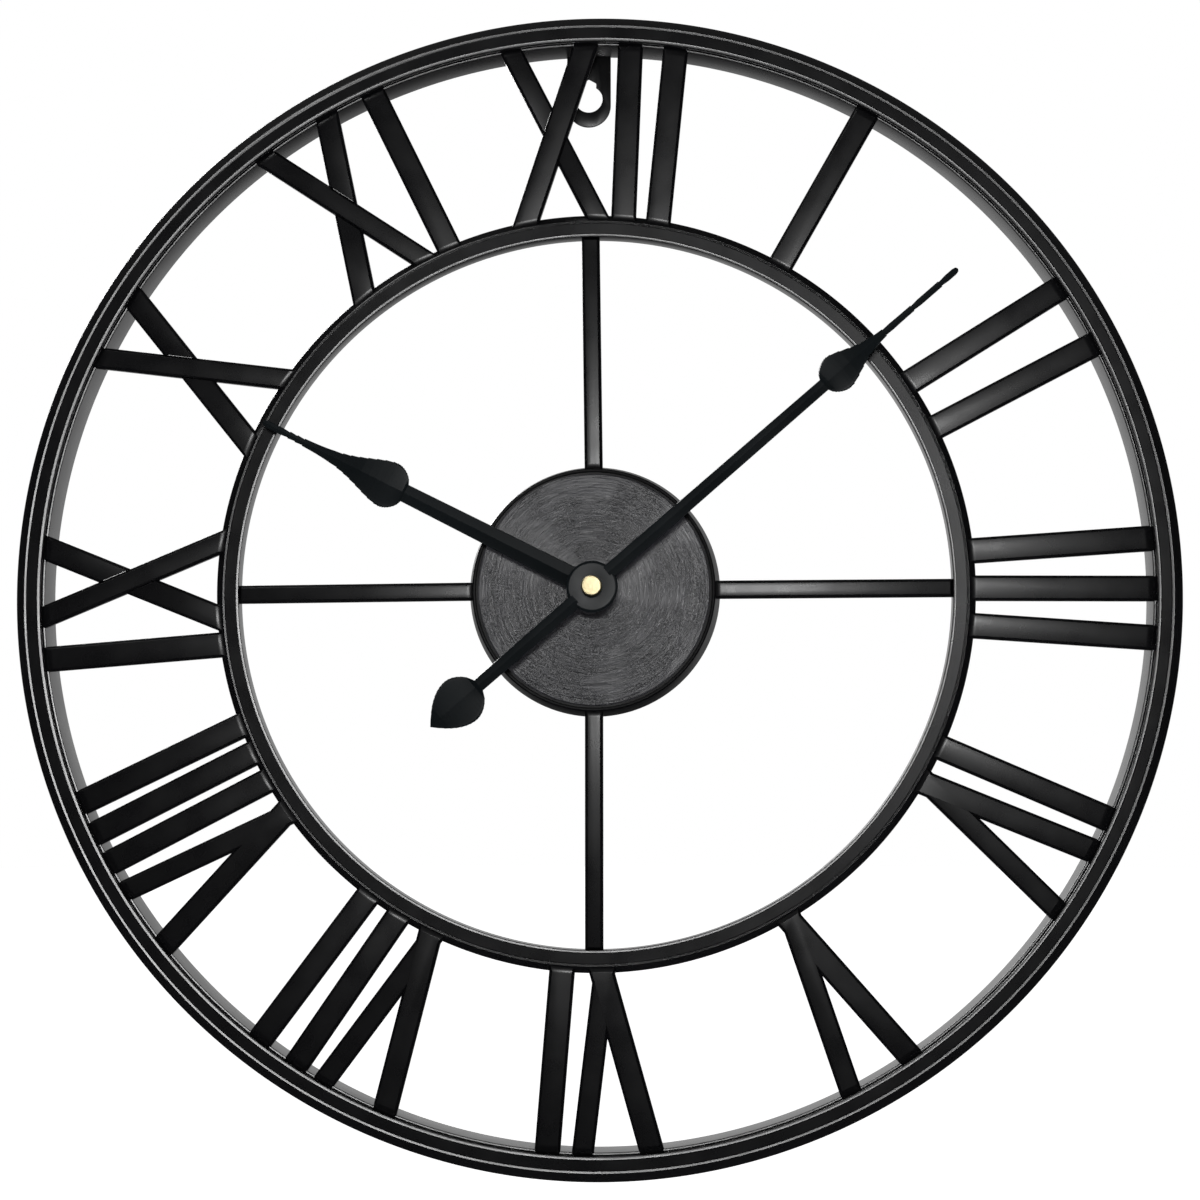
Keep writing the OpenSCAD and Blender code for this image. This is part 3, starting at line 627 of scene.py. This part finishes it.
def battery():
    """Cell with a sleeve, crimped ends, an end band and a raised contact."""
    low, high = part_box("battery")
    radius = (high.z - low.z) / 2 / MM
    middle = (low + high) / 2
    start, stop = low.x / MM, high.x / MM
    nub = 1.1
    shoulder = stop - nub
    corners = [
        (0, start + 0.15, 0), (radius - 1.6, start + 0.15, 0.2), (radius - 1.2, start, 0.2),
        (radius - 0.1, start, 0.3), (radius, start + 0.5, 0.3), (radius, shoulder - 0.5, 0.3),
        (radius - 0.1, shoulder, 0.3), (radius - 1.3, shoulder, 0.3), (radius - 1.9, shoulder - 0.3, 0.2),
        (2.9, shoulder - 0.3, 0.2), (2.7, shoulder + 0.1, 0.1), (2.7, stop, 0.35), (0, stop, 0),
    ]
    bm = bmesh.new()
    sweep_round(bm, rounded(corners), 96, lambda r, turn, h: Vector(
        (h * MM, middle.y + r * MM * math.sin(turn), middle.z + r * MM * math.cos(turn))))
    piece = add_object("battery_cell", bm, "battery", MATERIALS["battery_sleeve"])
    piece.data.materials.append(CELL_BAND)
    piece.data.materials.append(CELL_END)
    for face in piece.data.polygons:
        x = face.center.x / MM
        off_axis = math.hypot(face.center.y - middle.y, face.center.z - middle.z) / MM
        if off_axis < radius - 1.1 and (x > shoulder - 1 or x < start + 1):
            face.material_index = 2
        elif x > shoulder - 13:
            face.material_index = 1


def hidden_parts():
    """CAD nodes whose shapes are right get their materials."""
    for node, piece in frame["nodes"].items():
        if piece.hide_render:
            continue
        piece.data.materials.clear()
        piece.data.materials.append(MATERIALS[SLOT_OF[node]])


# --- Stage, light and camera ---

def floor():
    """A plain pale floor well below the clock."""
    bpy.ops.mesh.primitive_circle_add(vertices=96, radius=14, fill_type="NGON", location=(0, 0, -0.6))
    ground = bpy.context.object
    ground.name = "floor"
    material, nodes, links, shader = new_material("pale_floor", (0.92, 0.92, 0.92), 0.9)
    shader.inputs["Emission Color"].default_value = (1, 1, 1, 1)
    shader.inputs["Emission Strength"].default_value = 1.0
    ground.data.materials.append(material)
    ground.visible_glossy = False


def smooth_step(nodes, links, value, low, high):
    """Rises smoothly from 0 at low to 1 at high."""
    node = nodes.new("ShaderNodeMapRange")
    node.interpolation_type = "SMOOTHSTEP"
    node.inputs["From Min"].default_value = low
    node.inputs["From Max"].default_value = high
    links.new(value, node.inputs["Value"])
    return node.outputs["Result"]


def studio():
    """White backdrop that shows dimmed in reflections, and a dark room in front of the clock."""
    world = bpy.data.worlds.new("studio")
    bpy.context.scene.world = world
    world.use_nodes = True
    nodes, links = world.node_tree.nodes, world.node_tree.links
    coords = nodes.new("ShaderNodeTexCoord")
    split = nodes.new("ShaderNodeSeparateXYZ")
    links.new(coords.outputs["Generated"], split.inputs["Vector"])
    behind = smooth_step(nodes, links, split.outputs["Y"], 0.35, 0.80)
    raised = smooth_step(nodes, links, split.outputs["Z"], -0.34, -0.10)
    backdrop = mix_factor(nodes, links, "MULTIPLY", behind, raised)
    overhead = smooth_step(nodes, links, split.outputs["Z"], 0.2, 1.0)
    ceiling = mix_factor(nodes, links, "MULTIPLY", overhead, 0.06)
    dimmed = mix_factor(nodes, links, "MULTIPLY", backdrop, 0.5)
    glow = mix_factor(nodes, links, "ADD", dimmed, ceiling)
    room = mix_factor(nodes, links, "ADD", glow, 0.012)
    path = nodes.new("ShaderNodeLightPath")
    seen = mix_factor(nodes, links, "MAXIMUM", room, path.outputs["Is Camera Ray"])
    background = nodes["Background"]
    links.new(seen, background.inputs["Strength"])
    background.inputs["Color"].default_value = (1, 1, 1, 1)


def toward_viewer(azimuth, elevation):
    """The direction from the clock to a viewer, in degrees: 0, 0 is square on to the dial."""
    a, e = math.radians(azimuth), math.radians(elevation)
    return Vector((math.sin(a) * math.cos(e), -math.cos(a) * math.cos(e), math.sin(e)))


def area_light(name, width, height, power, azimuth, elevation, distance=1.6):
    """A soft oblong light that faces the clock."""
    data = bpy.data.lights.new(name, "AREA")
    data.shape = "RECTANGLE"
    data.size = width
    data.size_y = height
    data.energy = power
    light = bpy.data.objects.new(name, data)
    light.visible_camera = False
    toward = toward_viewer(azimuth, elevation)
    light.location = toward * distance
    light.rotation_mode = "QUATERNION"
    light.rotation_quaternion = toward.to_track_quat("Z", "Y")
    bpy.context.scene.collection.objects.link(light)


def camera():
    """The photograph's viewpoint: almost square on, a little to the right and below."""
    target = place(1.95, -3.15, 0)
    toward = toward_viewer(azimuth=2.49, elevation=-4.34)
    distance = 1.05
    data = bpy.data.cameras.new("camera")
    data.sensor_width = 36
    data.lens = 72.2
    view = bpy.data.objects.new("camera", data)
    view.location = target + toward * distance
    view.rotation_mode = "QUATERNION"
    view.rotation_quaternion = toward.to_track_quat("Z", "Y")
    bpy.context.scene.collection.objects.link(view)
    bpy.context.scene.camera = view


outer_ring()
hoop()
inner_ring()
dial_pan()
dial_plate()
pressed_parts()
hands()
movement_shells()
battery()
hidden_parts()
floor()
studio()
area_light("front", 0.36, 0.12, power=4.4, azimuth=2.6, elevation=6.0)
area_light("key", 0.5, 0.5, power=4, azimuth=-48, elevation=52)
area_light("rear", 0.7, 0.5, power=16, azimuth=212, elevation=24)
camera()
bpy.context.scene.view_settings.view_transform = "Standard"
